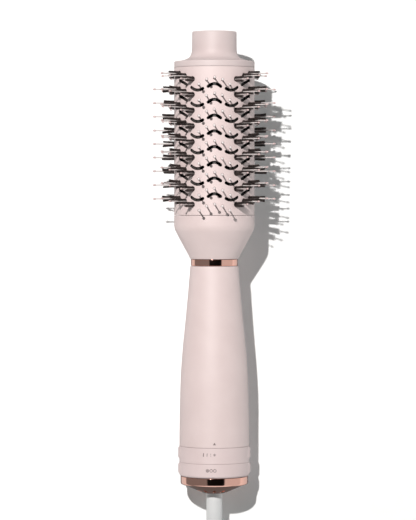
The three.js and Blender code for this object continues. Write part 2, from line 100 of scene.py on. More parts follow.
# A slot: the angle of its middle, and the angle and rise of three points from end to end.
SLOT_PITCH = 360 / 14
SLOT_DROP = 4.8
SLOTS = [
    (0, [(-11, -2.6), (0, 0.6), (11, -2.6)]),
    (SLOT_PITCH, [(-11, -2.4), (0, -4.3), (11, -1.2)]),
    (2 * SLOT_PITCH, [(-10.4, -0.6), (0, 2.2), (10.4, 3.9)]),
]
TUFT_TIP_R = 41.4
CARRIER_INNER, CARRIER_OUTER = 27.3, 29.3


def around(radius, degrees, along):
    """A place at a radius and an angle round the brush."""
    a = math.radians(degrees)
    return (radius * math.sin(a), radius * math.cos(a), along)


# ---- materials ----
NOISE_LOW, NOISE_HIGH = 0.3, 0.7  # nearly all of a noise texture's values lie between these
CLOUD_GRAIN = 900
CLOUD_SHARE = 0.2  # how much the clouds in nylon move the start of its painted rim shade
# Where the painted shade at the nylon's edges starts and where it is full.
RIM_SHADE_FROM, RIM_SHADE_TO = 0.38, 0.85


def feed(tree, socket, value):
    """Sets a socket to a value, or links it to another node's output."""
    if isinstance(value, bpy.types.NodeSocket):
        tree.links.new(value, socket)
    else:
        socket.default_value = value


def fill(tree, node, **inputs):
    """Feeds a node's inputs by name, with _ for a space, and returns the node."""
    for name, value in inputs.items():
        feed(tree, node.inputs[name.replace("_", " ")], value)
    return node


def add_node(tree, kind, **inputs):
    return fill(tree, tree.nodes.new("ShaderNode" + kind), **inputs)


def maths(tree, operation, *values):
    """The result of a Math node."""
    made = add_node(tree, "Math")
    made.operation = operation
    for socket, value in zip(made.inputs, values):
        feed(tree, socket, value)
    return made.outputs["Value"]


def new_material(name):
    """A material, its tree, its Principled shader and its texture coordinates."""
    made = bpy.data.materials.new(name)
    made.use_nodes = True
    tree = made.node_tree
    return made, tree, tree.nodes["Principled BSDF"], add_node(tree, "TexCoord")


def noise(tree, where, scale, detail=3.0):
    """A noise texture in the piece's own coordinates; scale is in features per metre."""
    return add_node(tree, "TexNoise", Vector=where.outputs["Object"], Scale=scale,
                    Detail=detail).outputs["Fac"]


def ramp(tree, value, low, high, *colours):
    """A colour that goes from one to another as value goes from low to high."""
    made = add_node(tree, "ValToRGB", Fac=value)
    for element, at, colour in zip(made.color_ramp.elements, (low, high), colours):
        element.position = at
        element.color = (*colour, 1)
    return made.outputs["Color"]


def surface(name, dark, light, roughness, grain=2600, relief=0.00002, strength=0.25, mottle=60,
            **sockets):
    """A moulded or plated surface: slow colour drift, fine grain in the bump, uneven gloss.

    grain and mottle are in features per metre, relief is in metres, and sockets are the shader's.
    """
    made, tree, shader, where = new_material(name)
    drift = noise(tree, where, mottle, 4.0)
    fine = noise(tree, where, grain, 2.0)
    gloss = add_node(tree, "MapRange", Value=fine, From_Min=NOISE_LOW, From_Max=NOISE_HIGH,
                     To_Min=roughness[0], To_Max=roughness[1])
    bump = add_node(tree, "Bump", Strength=strength, Distance=relief, Height=fine)
    fill(tree, shader, Base_Color=ramp(tree, drift, NOISE_LOW, NOISE_HIGH, dark, light),
         Roughness=gloss.outputs["Result"], Normal=bump.outputs["Normal"], **sockets)
    return made


def rim_shaded(name, middle, rim, roughness):
    """Clouded nylon: pale where it is seen square on, and darker towards its edges, a painted shade in place of
    how light bends through clear nylon.
    """
    made, tree, shader, where = new_material(name)
    facing = add_node(tree, "LayerWeight", Blend=0.5).outputs["Facing"]
    cloud = maths(tree, "MULTIPLY_ADD", noise(tree, where, CLOUD_GRAIN), CLOUD_SHARE, facing)
    # The rim colour is painted shade. It takes over from the middle colour as the surface turns away from square
    # on.
    fill(tree, shader, Base_Color=ramp(tree, cloud, RIM_SHADE_FROM, RIM_SHADE_TO, middle, rim),
         Roughness=roughness, IOR=1.53, Subsurface_Weight=0.15,
         Subsurface_Radius=(0.001, 0.0008, 0.0008))
    return made


BLUSH = surface("blush_plastic", (0.64, 0.515, 0.503), (0.67, 0.545, 0.533), (0.54, 0.60),
                Specular_IOR_Level=0.8)
# The cool tip's plastic is the blush plastic painted a little darker, as painted shade for the dimmer light at the
# tip.
SHADED_TIP_BLUSH = surface("tip_plastic_painted_shade", (0.575, 0.472, 0.465), (0.60, 0.50, 0.492), (0.54, 0.60),
                    Specular_IOR_Level=0.7)
DIAL_BLUSH = surface("dial_plastic", (0.63, 0.505, 0.498), (0.66, 0.535, 0.528), (0.54, 0.62),
                     grain=3400, Specular_IOR_Level=0.8)
# Near-black painted shade for the barrel's inner skin and the walls of its openings, for the dark seen through the
# slots.
SLOT_SHADE = surface("barrel_slot_shade", (0.040, 0.029, 0.027), (0.065, 0.048, 0.045), (0.4, 0.5))
ROSE = surface("rose_gold_plating", (0.94, 0.51, 0.41), (0.98, 0.56, 0.46), (0.06, 0.10),
               grain=1800, strength=0.05, Metallic=1.0)
# Pins and their tips: the second colour of each is painted shade, darker towards its edges.
NYLON = rim_shaded("pin_nylon", (0.66, 0.60, 0.59), (0.36, 0.29, 0.28), 0.2)
CLEAR_TIP = rim_shaded("clear_tip_nylon", (0.72, 0.64, 0.63), (0.34, 0.26, 0.25), 0.35)
PIN_TIP = rim_shaded("pin_tip_nylon", (0.60, 0.46, 0.45), (0.38, 0.27, 0.26), 0.25)
FIBRE = surface("bristle_fibre", (0.022, 0.015, 0.014), (0.062, 0.045, 0.041), (0.38, 0.6),
                mottle=1400)
CARRIER = surface("carrier_plastic", (0.030, 0.024, 0.022), (0.048, 0.039, 0.036), (0.5, 0.65))
BLACK = surface("black_plastic", (0.012, 0.012, 0.012), (0.024, 0.023, 0.023), (0.45, 0.6))
PRINT = surface("pad_print", (0.17, 0.13, 0.13), (0.22, 0.17, 0.165), (0.45, 0.55))
STEEL = surface("plain_steel", (0.48, 0.48, 0.49), (0.58, 0.58, 0.59), (0.25, 0.4), Metallic=1.0)
COPPER = surface("bare_copper", (0.55, 0.24, 0.12), (0.66, 0.31, 0.17), (0.25, 0.42), Metallic=1.0)
MICA = surface("pressed_mica", (0.45, 0.40, 0.30), (0.62, 0.56, 0.44), (0.35, 0.6), mottle=300)
BOARD = surface("circuit_laminate", (0.02, 0.13, 0.05), (0.03, 0.17, 0.07), (0.3, 0.45))
WHITE = surface("white_plastic", (0.74, 0.73, 0.71), (0.80, 0.79, 0.77), (0.4, 0.5))
CORD = surface("cord_jacket", (0.60, 0.60, 0.60), (0.66, 0.66, 0.66), (0.36, 0.5), grain=4200)
STRAP = surface("tie_strap", (0.018, 0.018, 0.019), (0.035, 0.034, 0.034), (0.6, 0.8),
                grain=5200, relief=0.0001, strength=0.6)


# ---- mesh tools ----
WELD = 0.002  # points closer than this become one
SLIVER = 0.0005  # edges shorter than this go
ROUNDING_SHARE = 0.48  # the most of an edge that the rounding of one corner takes


class Shape:
    """Points in millimetres, with faces and a material index for each face."""

    def __init__(self):
        self.points, self.faces, self.paints = [], [], []

    def put(self, points, faces, paint=0):
        """Adds points and their faces, all in one material."""
        start = len(self.points)
        self.points.extend(tuple(map(float, p)) for p in points)
        self.faces.extend(tuple(start + i for i in face) for face in faces)
        self.paints.extend([paint] * len(faces))
        return self


def finished(name, shape, paints, body, stands_for=(), sharp=38, row_frame=False,
             normals=None):
    """The shape as a piece that rides on a body, welded, with its faces pointing out.

    Edges of more than sharp degrees stay sharp, and normals makes a mesh's vertex normals.
    """
    mesh = bpy.data.meshes.new(name)
    places = np.array(shape.points)
    mesh.from_pydata(places * MM if row_frame else to_row(places), [], shape.faces)
    mesh.polygons.foreach_set("material_index", shape.paints)
    work = bmesh.new()
    work.from_mesh(mesh)
    bmesh.ops.remove_doubles(work, verts=work.verts, dist=WELD * MM)
    bmesh.ops.dissolve_degenerate(work, edges=work.edges, dist=SLIVER * MM)
    bmesh.ops.recalc_face_normals(work, faces=work.faces)
    work.to_mesh(mesh)
    work.free()
    for paint in paints:
        mesh.materials.append(paint)
    mesh.shade_smooth()
    mesh.set_sharp_from_angle(angle=math.radians(sharp))
    if normals:
        mesh.normals_split_custom_set_from_vertices(normals(mesh))
    return attached(name, mesh, body, stands_for)


def in_scene(name, data):
    made = bpy.data.objects.new(name, data)
    bpy.context.scene.collection.objects.link(made)
    return made


def attached(name, data, body, stands_for=()):
    """A piece that rides on its body, with the CAD nodes that it stands for hidden."""
    piece = in_scene(name, data)
    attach(piece, body)
    if stands_for:
        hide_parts(*stands_for)
    return piece


def rounded(corners, steps=6):
    """A closed profile of (radius, along, rounding) corners, each rounded by its own amount."""
    out = []
    for i, (radius, along, rounding) in enumerate(corners):
        corner = Vector((radius, along))
        if rounding <= 0:
            out.append(tuple(corner))
            continue
        back = Vector(corners[i - 1][:2]) - corner
        ahead = Vector(corners[(i + 1) % len(corners)][:2]) - corner
        reach = min(rounding, ROUNDING_SHARE * back.length, ROUNDING_SHARE * ahead.length)
        start, end = corner + back.normalized() * reach, corner + ahead.normalized() * reach
        for k in range(steps + 1):
            s = k / steps
            out.append(tuple(start * (1 - s) ** 2 + corner * 2 * s * (1 - s) + end * s ** 2))
    return out


def smooth_line(points, steps=6):
    """A smooth curve through points, of any dimension, with the ends held."""
    p = [np.array(q, float) for q in points]
    p = [2 * p[0] - p[1], *p, 2 * p[-1] - p[-2]]
    out = []
    for a, b, c, d in zip(p, p[1:], p[2:], p[3:]):
        for k in range(steps):
            s = k / steps
            out.append(0.5 * (2 * b + (c - a) * s + (2 * a - 5 * b + 4 * c - d) * s ** 2
                              + (3 * b - a - 3 * c + d) * s ** 3))
    return [tuple(q) for q in [*out, p[-2]]]


def revolved(profile, segments=160, swell=None, centre=(0, 0)):
    """A closed (radius, along) profile turned round the brush axis or a line beside it.

    swell gives how much further out a point goes, from its angle, radius and place.
    """
    points = []
    for k in range(segments):
        degrees = 360 * k / segments
        for radius, along in profile:
            r = radius + (swell(degrees, radius, along) if swell else 0)
            x, y, z = around(r, degrees, along)
            points.append((x + centre[0], y + centre[1], z))
    n = len(profile)
    faces = [
        (k * n + i, k * n + (i + 1) % n, (k + 1) % segments * n + (i + 1) % n,
         (k + 1) % segments * n + i)
        for k in range(segments) for i in range(n)
    ]
    return Shape().put(points, faces)


def ring_of(axes, centre, radius, sides):
    """Points of a circle in the plane of two axes."""
    across, up = axes
    return [
        centre + across * radius * math.cos(2 * math.pi * k / sides)
        + up * radius * math.sin(2 * math.pi * k / sides)
        for k in range(sides)
    ]


def circle(centre, radius, steps=24):
    """Flat points of a circle."""
    return [(centre[0] + radius * math.cos(2 * math.pi * k / steps),
             centre[1] + radius * math.sin(2 * math.pi * k / steps)) for k in range(steps)]


def skinned(shape, rings, paint=0, capped=True):
    """Joins rings that have as many points each into a tube, with flat ends if it is capped."""
    sides = len(rings[0])
    points = [p for ring in rings for p in ring]
    faces = [
        (r * sides + k, r * sides + (k + 1) % sides, (r + 1) * sides + (k + 1) % sides,
         (r + 1) * sides + k)
        for r in range(len(rings) - 1) for k in range(sides)
    ]
    if capped:
        faces.append(tuple(range(sides))[::-1])
        faces.append(tuple((len(rings) - 1) * sides + k for k in range(sides)))
    return shape.put(points, faces, paint)


def plate_with_hole(outline, hole):
    """Flat triangles between an outline and a hole in it."""
    points = [Vector(p) for p in [*outline, *hole]]
    n, m = len(outline), len(hole)
    edges = [(k, (k + 1) % n) for k in range(n)] + [(n + k, n + (k + 1) % m) for k in range(m)]
    places, _, faces, *_ = delaunay_2d_cdt(points, edges, [], 1, 1e-6)
    kept = [f for f in faces if not all(i >= n for i in f)]
    return [tuple(p) for p in places], kept


def smoothstep(value, low, high):
    """0 up to low and 1 from high on, with an easy curve between them."""
    s = min(1.0, max(0.0, (value - low) / (high - low)))
    return s * s * (3 - 2 * s)


# ---- camera and lights ----
CAMERA_AT = (-5.0, 2205.0, 231.0)
LOOK_AT = (-5.0, 0, 183.9)
LENS = 193.8
SENSOR = 36
VIEW_DEPTH = 20  # metres
LAMP_AT = (-0.39, 0.57, 1.80)  # metres
LAMP_RADIUS = 0.022  # metres
LAMP_WATTS = 153
LAMP_COLOUR = (1.0, 0.985, 0.965)
ROOM_STRENGTH = 1.25
ROOM_RED = 0.95  # red as a share of green and blue: the room's light is a little cool
# Brightness round the brush, by the degrees from overhead towards the right.
ROOM_STOPS = [(-158, 0.1), (-150, 0.55), (-116, 0.64), (-111, 0.17), (-27, 0.17), (-23, 0.003),
              (34, 0.003), (38, 0.51), (98, 0.52), (104, 0.72), (150, 0.5), (158, 0.1)]
# Past the brush's tail stands a pale wall: its brightness by the height of a direction, and its
# share by how far the direction points along +Y.
WALL_STOPS = [(-0.25, 0.1), (-0.12, 0.75), (0.7, 0.75)]
WALL_REACH = [(-0.75, 1), (-0.6, 0)]
FLOOR_HALF = 9.0  # metres


def make_camera():
    """The camera, far in front of the brush and a little towards its tip."""
    camera = in_scene("camera", bpy.data.cameras.new("camera"))
    camera.data.sensor_width = SENSOR
    camera.data.lens = LENS
    camera.data.clip_end = VIEW_DEPTH
    place, target = Vector(to_row(CAMERA_AT)), Vector(to_row(LOOK_AT))
    back = (place - target).normalized()
    across = ALONG.cross(back).normalized()
    turn = Matrix((across, back.cross(across), back)).transposed()
    camera.matrix_world = Matrix.Translation(place) @ turn.to_4x4()
    bpy.context.scene.camera = camera


def make_lamp():
    """A small lamp at the upper left of the view."""
    lamp = in_scene("key_lamp", bpy.data.lights.new("key_lamp", "POINT"))
    lamp.location = LAMP_AT
    lamp.data.energy = LAMP_WATTS
    lamp.data.shadow_soft_size = LAMP_RADIUS
    lamp.data.color = LAMP_COLOUR
    lamp.visible_camera = False


def bands(tree, value, low, high, stops):
    """Brightness by a value between low and high, blending from each stop to the next."""
    place = add_node(tree, "MapRange", Value=value, From_Min=low, From_Max=high)
    made = add_node(tree, "ValToRGB", Fac=place.outputs["Result"])
    while len(made.color_ramp.elements) < len(stops):
        made.color_ramp.elements.new(0.5)
    for element, (at, bright) in zip(made.color_ramp.elements, stops):
        element.position = (at - low) / (high - low)
        element.color = (bright * ROOM_RED, bright, bright, 1)
    return made.outputs["Color"]


def make_room():
    """The world: dim and bright walls round the brush, for its plastic and plating to reflect."""
    world = bpy.data.worlds.new("studio")
    bpy.context.scene.world = world
    world.use_nodes = True
    tree = world.node_tree
    parts = add_node(tree, "SeparateXYZ", Vector=add_node(tree, "TexCoord").outputs["Generated"])
    side = maths(tree, "ARCTAN2", parts.outputs["X"], parts.outputs["Z"])
    turns = [(math.radians(degrees), bright) for degrees, bright in ROOM_STOPS]
    both = add_node(tree, "Mix")
    both.data_type = "RGBA"
    fill(tree, both, Factor=bands(tree, parts.outputs["Y"], -1, 1, WALL_REACH),
         A=bands(tree, side, -math.pi, math.pi, turns),
         B=bands(tree, parts.outputs["Z"], -1, 1, WALL_STOPS))
    fill(tree, tree.nodes["Background"], Color=both.outputs["Result"], Strength=ROOM_STRENGTH)
    bpy.context.scene.view_settings.view_transform = "Standard"


def make_floor():
    """A plain pale floor, kept out of reflections."""
    mesh = bpy.data.meshes.new("floor")
    corners = [(x * FLOOR_HALF, y * FLOOR_HALF, 0)
               for x, y in ((-1, -1), (1, -1), (1, 1), (-1, 1))]
    mesh.from_pydata(corners, [], [(0, 1, 2, 3)])
    mesh.materials.append(surface("floor_paper", (0.90, 0.90, 0.90), (0.92, 0.92, 0.92),
                                  (0.7, 0.8), strength=0.02))
    piece = in_scene("floor", mesh)
    piece.visible_glossy = False


# ---- the cord ----
CORD_D = 7.0
COIL_CENTRE = (22.0, -314.0)
COIL_INNER = 28.8
COIL_PITCH = 7.2
COIL_FLOOR = 4.6
COIL_IN_TURNS = 3.75
COIL_CLIMB_TURNS = 0.3
COIL_OUT_TURNS = 3.45
COIL_TURNS = COIL_IN_TURNS + COIL_CLIMB_TURNS + COIL_OUT_TURNS
COIL_SETTLE = 1.0  # how far the turns sink away from the tie and the two ends
COIL_TUCK = 0.6  # how far the cord pulls in as it climbs a layer
END_TURNS = 0.12  # how much of a turn each end takes to settle
POINTS_PER_TURN = 72
STUB = 32.0  # the straight run before and after the coil
DEPTH_IN_BOOT, DEPTH_IN_PLUG = 6, 5
PLUG_AT = (71.5, -248.0)
PLUG_LENGTH = 31.0
PLUG_AXIS = 8.0
BLADE_LENGTH, BLADE_HALF, BLADE_HALF_THICK, BLADE_NOSE = 17, 3.05, 0.7, 2.2
BLADE_OFFSET = 6.35
BLADE_ROOT = -1.5  # how far each blade goes into the plug
BLADE_HOLE_AT, BLADE_HOLE_R = 12.2, 1.1
STRAP_HALF, STRAP_HALF_THICK, STRAP_BEND = 3.4, 0.34, 3.4
LEAD_ROUTE = [
    (0, -0.2064, 0.0213), (0, -0.213, 0.0206), (-0.0006, -0.22, 0.0194),
    (-0.0026, -0.227, 0.0172), (-0.0062, -0.234, 0.0144), (-0.0112, -0.241, 0.0114),
    (-0.017, -0.248, 0.0088), (-0.0226, -0.255, 0.0068), (-0.0276, -0.262, 0.0054),
    (-0.0314, -0.269, 0.0048), (-0.0334, -0.2755, 0.0046), (-0.0338, -0.2815, 0.0046),
]
TAIL_ROUTE = [
    (0.07564, -0.2815, 0.0118), (0.0755, -0.276, 0.0115), (0.075, -0.27, 0.0107),
    (0.074, -0.2645, 0.0097), (0.0728, -0.2595, 0.0088), (0.0719, -0.254, 0.0082),
    (0.0715, -0.2483, 0.008),
]


def coil_points():
    """The coil's centreline in metres: in along the surface, up a layer, and out again on top."""
    inward = int(COIL_IN_TURNS * POINTS_PER_TURN)
    climb = int(COIL_CLIMB_TURNS * POINTS_PER_TURN)
    outward = int(COIL_OUT_TURNS * POINTS_PER_TURN)
    out = []
    for k in range(inward + climb + outward + 1):
        turns = k / POINTS_PER_TURN
        rise = smoothstep(turns, COIL_IN_TURNS, COIL_IN_TURNS + COIL_CLIMB_TURNS)
        tuck = COIL_TUCK * math.sin(math.pi * rise)
        laid_in = min(turns, COIL_IN_TURNS)
        laid_out = max(0.0, turns - COIL_IN_TURNS - COIL_CLIMB_TURNS)
        radius = COIL_INNER + COIL_PITCH * (COIL_IN_TURNS - laid_in + laid_out) - tuck
        angle = math.pi + 2 * math.pi * turns
        # The turns lie on the surface and lift a little to pass over the tie.
        lift = max(0.0, -math.sin(angle)) ** 6
        ends = max(smoothstep(END_TURNS - turns, 0, END_TURNS),
                   smoothstep(turns, COIL_TURNS - END_TURNS, COIL_TURNS))
        height = COIL_FLOOR + COIL_PITCH * rise - COIL_SETTLE * (1 - max(lift, ends))
        out.append(np.array((COIL_CENTRE[0] + radius * math.cos(angle),
                             COIL_CENTRE[1] + radius * math.sin(angle), height)) * MM)
    return out


def make_cord():
    """The mains cord as one curve, from the strain relief to the plug, and its length."""
    coil = coil_points()
    stub = [np.array((0, STUB * MM * s, 0)) for s in (0.75, 0.5, 0.25)]
    in_boot = Vector(LEAD_ROUTE[0]) + ALONG * DEPTH_IN_BOOT * MM
    in_plug = Vector(TAIL_ROUTE[-1]) + Vector((0, DEPTH_IN_PLUG * MM, 0))
    lead = smooth_line([tuple(in_boot), *LEAD_ROUTE, *(coil[0] + s for s in stub)], 3)
    tail = smooth_line([*(coil[-1] + s for s in reversed(stub)), *TAIL_ROUTE, tuple(in_plug)], 3)
    line = [np.array(p) for p in [*lead, *coil, *tail]]
    length = float(sum(np.linalg.norm(b - a) for a, b in zip(line, line[1:])))

    curve = bpy.data.curves.new("mains_cord", "CURVE")
    curve.dimensions = "3D"
    curve.bevel_depth = CORD_D / 2 * MM
    curve.bevel_resolution = 4
    spline = curve.splines.new("POLY")
    spline.points.add(len(line) - 1)
    for point, place in zip(spline.points, line):
        point.co = (*place, 1)
    spline.use_smooth = True
    curve.materials.append(CORD)
    piece = attached("mains_cord", curve, "housing", ("cord_lead", "cord_coil", "cord_tail"))
    return piece, length


def superellipse(centre, half_wide, half_tall, power, sides=48):
    """Points of a rounded-square section that faces along +Y, in millimetres."""
    out = []
    for k in range(sides):
        a = 2 * math.pi * k / sides
        c, s = math.cos(a), math.sin(a)
        out.append((centre[0] + half_wide * math.copysign(abs(c) ** (2 / power), c), centre[1],
                    centre[2] + half_tall * math.copysign(abs(s) ** (2 / power), s)))
    return out


def make_plug():
    """A moulded two-blade plug with a ribbed tail, and its blades."""
    x, y = PLUG_AT
    # Distance from the tail, half width, half thickness and squareness of each section.
    body = [
        (0.0, 4.2, 4.2, 2.0), (0.3, 4.7, 4.7, 2.0), (2.0, 5.0, 5.0, 2.0), (2.5, 4.4, 4.4, 2.0),
        (3.3, 4.4, 4.4, 2.0), (3.8, 5.2, 5.1, 2.1), (5.3, 5.4, 5.2, 2.1), (5.8, 4.8, 4.6, 2.1),
        (6.6, 4.9, 4.7, 2.1), (7.2, 5.9, 5.5, 2.2), (9.5, 7.2, 6.0, 2.4), (12.0, 9.4, 6.8, 2.8),
        (14.5, 11.0, 7.4, 3.2), (17.5, 11.6, 7.6, 3.6), (23.0, 11.8, 7.7, 4.0),
        (28.5, 11.8, 7.7, 4.0), (30.0, 11.6, 7.5, 4.0), (30.7, 11.1, 7.0, 4.0),
        (PLUG_LENGTH, 10.2, 6.2, 4.0),
    ]
    rings = [superellipse((x, y + forward, PLUG_AXIS), wide, tall, power)
             for forward, wide, tall, power in body]
    plug = finished("mains_plug", skinned(Shape(), rings), [CORD], "housing", ("plug_body",),
                    sharp=50, row_frame=True)

    blades = Shape()
    front = y + PLUG_LENGTH + GAP
    outline = [(BLADE_LENGTH - BLADE_NOSE + BLADE_NOSE * math.sin(a), BLADE_HALF * math.cos(a))
               for a in (math.pi * k / 8 for k in range(9))]
    outline += [(BLADE_ROOT, -BLADE_HALF), (BLADE_ROOT, BLADE_HALF)]
    hole = circle((BLADE_HOLE_AT, 0), BLADE_HOLE_R, 16)
    points, faces = plate_with_hole(outline, hole)
    for side in (-1, 1):
        middle = x + side * BLADE_OFFSET
        for depth, turn in ((-BLADE_HALF_THICK, 1), (BLADE_HALF_THICK, -1)):
            blades.put([(middle + depth, front + u, PLUG_AXIS + v) for u, v in points],
                       [f[::turn] for f in faces])
        for loop in (outline, hole):
            n = len(loop)
            rim = [(middle + depth, front + u, PLUG_AXIS + v)
                   for depth in (-BLADE_HALF_THICK, BLADE_HALF_THICK) for u, v in loop]
            blades.put(rim, [(k, (k + 1) % n, n + (k + 1) % n, n + k) for k in range(n)])
    pair = finished("plug_blades", blades, [STEEL], "housing",
                    ("plug_blade_left", "plug_blade_right"), row_frame=True)
    return plug, pair


def make_tie():
    """A strap round the turns of the coil, on its far side."""
    low = COIL_INNER - CORD_D / 2 - 1.6
    high = COIL_INNER + COIL_PITCH * COIL_IN_TURNS + CORD_D / 2 + 1.0
    foot, top = 0.36, COIL_FLOOR + COIL_PITCH + 4.5
    corners = rounded([(radial, up, STRAP_BEND) for radial, up in
                       ((low, foot), (high, foot), (high, top), (low, top))], 8)
    half, edge = STRAP_HALF, STRAP_HALF - 0.3
    # The strap's section, a touch thicker inside its two edges.
    outline = [(-half, -1), (-edge, -1.05), (edge, -1.05), (half, -1),
               (half, 1), (edge, 1.05), (-edge, 1.05), (-half, 1)]
    shape = Shape()
    loops = []
    for k, (radial, up) in enumerate(corners):
        before, after = corners[k - 1], corners[(k + 1) % len(corners)]
        tangent = Vector((after[0] - before[0], after[1] - before[1])).normalized()
        out = Vector((tangent.y, -tangent.x)) * STRAP_HALF_THICK
        loops.append([(COIL_CENTRE[0] + width, COIL_CENTRE[1] - (radial + out.x * thick),
                       up + out.y * thick) for width, thick in outline])
    skinned(shape, [*loops, loops[0]], capped=False)
    return finished("cord_strap", shape, [STRAP], "housing", ("cord_tie",),
                    row_frame=True)


make_camera()
cord, cord_length = make_cord()
plug, blades = make_plug()
strap = make_tie()


# ---- the barrel ----
HOLE_HALF = {"pins": 0.95, "tufts": 2.15}
SLOT_HALF = 1.15
SLOT_FROM, SLOT_SHARE = 0.09, 0.82  # where on its line a slot's spine starts, and how much it has
WALL = 1.6
LIP = 0.32  # rounding at an opening
END_LIP = 0.12  # rounding at the barrel's ends
ON_SKIN = 0.004  # how near the outer radius a point counts as on it
# The barrel is meshed flat, as a sheet unrolled from a line at the seam angle.
SEAM_ANGLE = 75
SHEET_START = math.radians(SEAM_ANGLE) * BARREL_R
SHEET_TURN = 2 * math.pi * BARREL_R
SHEET_COLUMNS, SHEET_LEVELS = 96, 54
SHEET_CLEAR = 0.9  # how far the sheet's own points stay from a lip


def slot_spine(centre, line, row, steps=9):
    """Points along the middle of a slot on the unrolled barrel, short of its round ends."""
    flat = [(math.radians(centre + a) * BARREL_R, row + z) for a, z in line]
    (x0, y0), (x1, y1), (x2, y2) = flat
    out = []
    for k in range(steps):
        s = SLOT_FROM + SLOT_SHARE * k / (steps - 1)
        w0, w1, w2 = (1 - s) * (1 - 2 * s), 4 * s * (1 - s), s * (2 * s - 1)
        out.append((w0 * x0 + w1 * x1 + w2 * x2, w0 * y0 + w1 * y1 + w2 * y2))
    return np.array(out)


def outline_of(spine, half, cap_steps=7):
    """A loop at a distance from a spine, with round ends; round a single point, a circle."""
    if len(spine) == 1:
        steps = 18 if half > 1.5 else 12
        return [spine[0] + half * np.array((math.cos(a), math.sin(a)))
                for a in (2 * math.pi * k / steps for k in range(steps))]
    run = np.gradient(spine, axis=0)
    run /= np.linalg.norm(run, axis=1)[:, None]
    side = np.stack([-run[:, 1], run[:, 0]], 1)
    turns = [math.pi * k / cap_steps for k in range(1, cap_steps)]
    return [
        *(spine - half * side),
        *(spine[-1] + half * (run[-1] * math.sin(a) - side[-1] * math.cos(a)) for a in turns),
        *(spine + half * side)[::-1],
        *(spine[0] + half * (side[0] * math.cos(a) - run[0] * math.sin(a)) for a in turns),
    ]


def rows(first, pitch):
    """Places along the brush of one column's bristles, from the tip end down."""
    return [first - k * pitch for k in range(ROWS)]


def mirrored(columns):
    """The front's columns as the back has them."""
    return [(180 - angle, rise, -offset) for angle, rise, offset in columns]


def lefted(columns):
    """The right side's columns as the left side has them."""
    return [(-angle, rise, -offset) for angle, rise, offset in columns]


def column_angle(column, radius):
    """Where round the brush a column is, at a radius."""
    return column[0] + math.degrees(math.asin(column[2] / radius))


COMBS = [
    ("pin_comb_front", "pins", ROW_PITCH, PIN_COLUMNS),
    ("pin_comb_back", "pins", ROW_PITCH, mirrored(PIN_COLUMNS)),
    ("tuft_comb_front_right", "tufts", ROW_PITCH, TUFT_COLUMNS),
    ("tuft_comb_front_left", "tufts", ROW_PITCH, lefted(TUFT_COLUMNS)),
    ("tuft_comb_back_right", "tufts", ROW_PITCH, mirrored(TUFT_COLUMNS)),
    ("tuft_comb_back_left", "tufts", ROW_PITCH, lefted(mirrored(TUFT_COLUMNS))),
    ("tuft_strip_right", "tufts", SIDE_PITCH, [SIDE_COLUMN]),
    ("tuft_strip_left", "tufts", SIDE_PITCH, lefted([SIDE_COLUMN])),
]


def barrel_openings():
    """The spine and half width of every hole and slot, on the unrolled barrel."""
    found = []
    for _, kind, pitch, columns in COMBS:
        for column in columns:
            angle = column_angle(column, BARREL_R - WALL / 2)
            for z in rows(FIRST_ROW + column[1], pitch):
                found.append((np.array([(math.radians(angle) * BARREL_R, z)]), HOLE_HALF[kind]))
    for z in rows(FIRST_ROW - SLOT_DROP, ROW_PITCH)[:-1]:
        for centre, line in SLOTS:
            flipped = [(-a, h) for a, h in line][::-1]
            places = [(centre, line), (180 - centre, flipped)]
            if centre > 0:
                places += [(-centre, flipped), (180 + centre, line)]
            found += [(slot_spine(*place, z), SLOT_HALF) for place in places]
    wrapped = []
    for spine, half in found:
        shift = math.floor((spine[:, 0].mean() - SHEET_START) / SHEET_TURN) * SHEET_TURN
        wrapped.append((spine - np.array((shift, 0)), half))
    return wrapped


def inside(point, loop):
    """Whether a point is inside a closed loop."""
    x, y = point
    odd = False
    for (x0, y0), (x1, y1) in zip(loop, loop[1:] + loop[:1]):
        if (y0 > y) != (y1 > y) and x < (x1 - x0) * (y - y0) / (y1 - y0) + x0:
            odd = not odd
    return odd


def barrel_sheet(openings):
    """The unrolled barrel between its openings, as flat points and faces."""
    low, high = BARREL_LOW + END_LIP, BARREL_HIGH - END_LIP
    us = np.linspace(SHEET_START, SHEET_START + SHEET_TURN, SHEET_COLUMNS + 1)
    zs = np.linspace(low, high, SHEET_LEVELS + 1)
    border = ([(u, low) for u in us] + [(us[-1], z) for z in zs[1:]]
              + [(u, high) for u in us[-2::-1]] + [(us[0], z) for z in zs[-2:0:-1]])
    points = list(border)
    edges = [(k, (k + 1) % len(border)) for k in range(len(border))]
    loops = []
    for spine, half in openings:
        loop = outline_of(spine, half + LIP)
        first = len(points)
        points.extend(tuple(p) for p in loop)
        edges += [(first + k, first + (k + 1) % len(loop)) for k in range(len(loop))]
        loops.append((first, len(loop)))
    grid = np.array([(u, z) for u in us[1:-1] for z in zs[1:-1]])
    clear = np.ones(len(grid), bool)
    for spine, half in openings:
        for p in spine:
            clear &= np.hypot(*(grid - p).T) > half + LIP + SHEET_CLEAR
    points.extend(tuple(p) for p in grid[clear])
    flat, _, faces, source, *_ = delaunay_2d_cdt([Vector(p) for p in points], edges, [], 0, 1e-7)
    owner = {k: (first, count) for first, count in loops for k in range(first, first + count)}
    origin = [s[0] if s else -1 for s in source]
    kept = []
    for face in faces:
        owners = {owner.get(origin[i]) for i in face}
        if len(owners) == 1 and None not in owners:
            # All three corners are on one loop, so the face may lie inside its opening.
            first, count = owners.pop()
            middle = sum((flat[i] for i in face), Vector((0, 0))) / 3
            if inside(middle, [tuple(points[k]) for k in range(first, first + count)]):
                continue
        kept.append(face)
    return [tuple(p) for p in flat], kept


def wrapped_round(points, radius, flat_radius=BARREL_R):
    """Flat (arc length, along) points laid on a cylinder, at the angles they have at flat_radius."""
    return [around(radius, math.degrees(u / flat_radius), z) for u, z in points]


